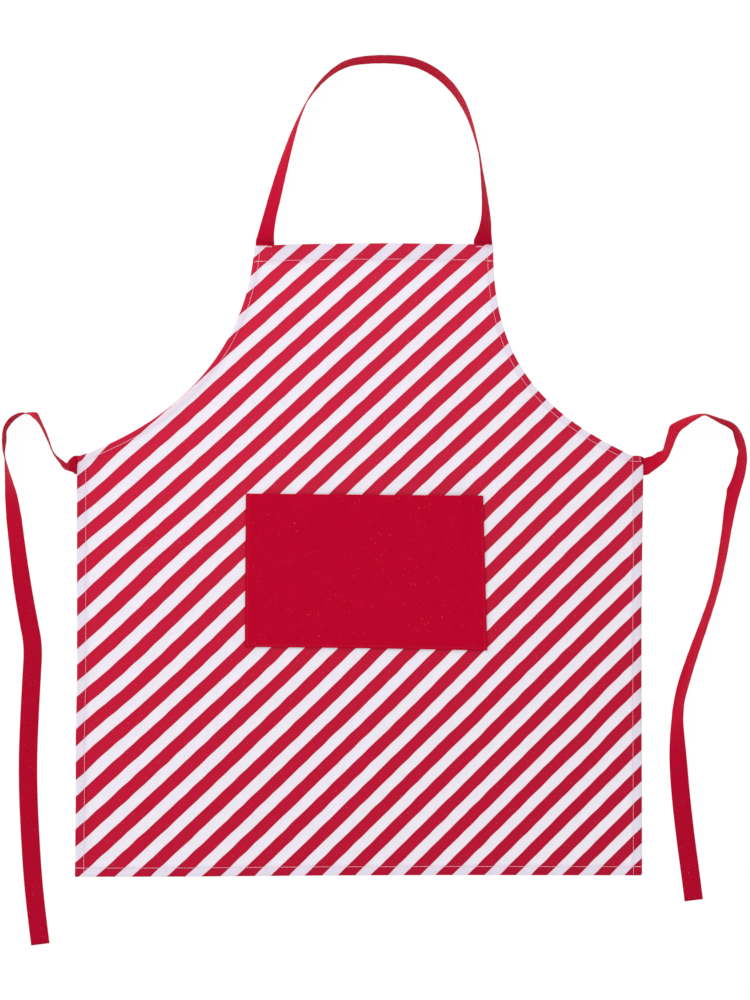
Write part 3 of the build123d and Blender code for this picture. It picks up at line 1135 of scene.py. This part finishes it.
RED_STRAP = cloth_shader("red_strap_cotton", plain_colour(RED_COTTON), 0.08, 0.00008)
STRIPED = cloth_shader("striped_cotton", striped_colour, 0.03, 0.00007)
POCKET_RED = cloth_shader("red_pocket_cotton", plain_colour(RED_POCKET), 0.01, 0.00008)
PALE = thread_shader("pale_thread", PALE_THREAD)
RED = thread_shader("red_thread", RED_THREAD)

left_tie, left_line = make_strap(
    "left_tie_strap", LEFT_TIE_ROUTE, RED_STRAP, LEFT_TIE_NICKS, seed=31
)
right_tie, right_line = make_strap(
    "right_tie_strap", RIGHT_TIE_ROUTE, RED_STRAP, RIGHT_TIE_NICKS, seed=41
)
neck, _ = make_strap("neck_loop_strap", NECK_ROUTE, RED_STRAP, seed=51)

# Each strap's mesh is baked in place, and the CAD nodes it stands for are hidden.
for tie, line, side, edge_y, length in (
    (left_tie, left_line, "left", -0.0005, 0.770),
    (right_tie, right_line, "right", -0.0015, 0.744),
):
    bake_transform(tie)
    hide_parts(f"{side}_tie", f"{side}_tie_sewn_end")
    [tuple(p) for p in line]

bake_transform(neck)
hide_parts("neck_strap", "neck_strap_left_end", "neck_strap_right_end")

body = make_body_cloth(STRIPED)
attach(body, "apron")
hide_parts("body_panel")

top_low, top_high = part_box("top_hem")
side_low, side_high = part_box("left_side_hem")
right_low, right_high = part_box("right_side_hem")

HEMS = (
    ("top_hem", between(TOP_EDGE, 0, top_low.x, top_high.x), TOP_HEM),
    ("left_side_hem", between(LEFT_EDGE, 1, side_low.y, side_high.y), SIDE_HEM),
    ("right_side_hem", between(RIGHT_EDGE, 1, right_low.y, right_high.y), SIDE_HEM),
    ("bottom_hem", FOOT_EDGE, SIDE_HEM),
    ("left_armhole_hem", between(LEFT_CURVE, 1, side_high.y, top_low.y), ARMHOLE_HEM),
    ("right_armhole_hem", between(RIGHT_CURVE, 1, right_high.y, top_low.y), ARMHOLE_HEM),
)
for name, line, width in HEMS:
    hem = make_hem(f"{name}_fold", np.array(line, float), width, STRIPED)
    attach(hem, "apron")
    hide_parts(name)

pocket = make_pocket(POCKET_RED)
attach(pocket, "apron")
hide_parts("pocket_panel")

mouth_band = make_pocket_band(
    "pocket_mouth_fold",
    POCKET_RED,
    np.linspace(0.036, 0.964, 60),
    np.linspace(0.91, 0.998, 10),
)
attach(mouth_band, "apron")
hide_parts("pocket_mouth_hem")

turned = turned_edge(POCKET_RED)
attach(turned, "apron")
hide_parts("pocket_turned_edge")

SKIRT_ROW = SIDE_HEM - STITCH_INSET
TOP_ROW = TOP_HEM - STITCH_INSET
ARMHOLE_ROW = ARMHOLE_HEM - STITCH_INSET
RIGHT_ROW_FOOT = beside(RIGHT_EDGE[:5], SKIRT_ROW, 1, SKIRT_BOTTOM + 0.003, 0.0)
RIGHT_ROW_TOP = ((0.3387, -0.030), (0.3384, 0.0120))

# Rows of stitches on the hems: the node, the row itself, and its back-tacks.
ROWS = (
    (
        "bottom_hem_stitching",
        beside(FOOT_EDGE, SKIRT_ROW, 0, -0.3495, 0.3490),
        ((-0.3495, -0.4968), (-0.3430, -0.4968)),
        ((0.3425, -0.4950), (0.3475, -0.4950)),
    ),
    (
        "top_hem_stitching",
        beside(TOP_EDGE, TOP_ROW, 0, -0.1285, 0.1650),
        ((-0.1262, 0.2534), (-0.1200, 0.2534)),
        ((0.1606, 0.2534), (0.1655, 0.2534)),
    ),
    ("left_side_stitching", beside(LEFT_EDGE, SKIRT_ROW, 1, SKIRT_BOTTOM + 0.001, 0.010)),
    (
        "right_side_stitching",
        np.concatenate((RIGHT_ROW_FOOT, RIGHT_ROW_TOP)),
        ((0.3475, 0.0062), (0.3475, 0.0120)),
    ),
    ("left_armhole_stitching", beside(LEFT_CURVE, ARMHOLE_ROW, 0, -0.3475, 0.0)),
    (
        "right_armhole_stitching",
        beside(np.concatenate((CORNER_EDGE, RIGHT_CURVE[1:])), ARMHOLE_ROW, 0, 0.0, 0.349),
    ),
)
for name, *lines in ROWS:
    stitches = make_stitches(f"{name}_thread", [on_cloth(line) for line in lines], PALE)
    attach(stitches, "apron")
    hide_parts(name)

side_u, foot_v = POCKET_STITCH / POCKET_WIDTH, POCKET_STITCH / POCKET_DEPTH
mouth_v = 1 - MOUTH_STITCH / POCKET_DEPTH
pocket_threads = make_stitches(
    "pocket_stitching_thread",
    [
        pocket_row((side_u, 0.998), (side_u, foot_v)),
        pocket_row((side_u, foot_v), (1 - side_u, foot_v)),
        pocket_row((1 - side_u, foot_v), (1 - side_u, 0.998)),
        pocket_row((side_u, mouth_v), (1 - side_u, mouth_v), sunk=0.0003),
    ],
    RED,
)
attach(pocket_threads, "apron")
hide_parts("pocket_stitching")

# Tacks at the straps' roots: node, slot, thread, width and lift.
TACKS = (
    ("neck_strap_left_tack", "pale_thread", PALE, 0.0006, 0.0),
    ("neck_strap_right_tack", "pale_thread", PALE, 0.0006, 0.0),
    ("left_tie_tack", "red_thread", RED, 0.00035, -0.0002),
    ("right_tie_tack", "red_thread", RED, 0.00035, -0.0002),
)
for node, slot, thread, width, lift in TACKS:
    low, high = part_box(node)
    if high.x - low.x > high.y - low.y:
        lines = [[(low.x, y), (high.x, y)] for y in (high.y - 0.0008, high.y - 0.0003)]
    else:
        lines = [[(x, low.y), (x, high.y)] for x in (low.x + 0.0003, high.x - 0.0003)]
    rows = [on_cloth(line) for line in lines]
    tack = make_stitches(f"{node}_thread", rows, thread, 0.0022, 0.0020, width, lift)
    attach(tack, "apron")
    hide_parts(node)

make_floor(floor_shader())
make_sky()
make_lamp()
bpy.context.scene.view_settings.view_transform = "Standard"
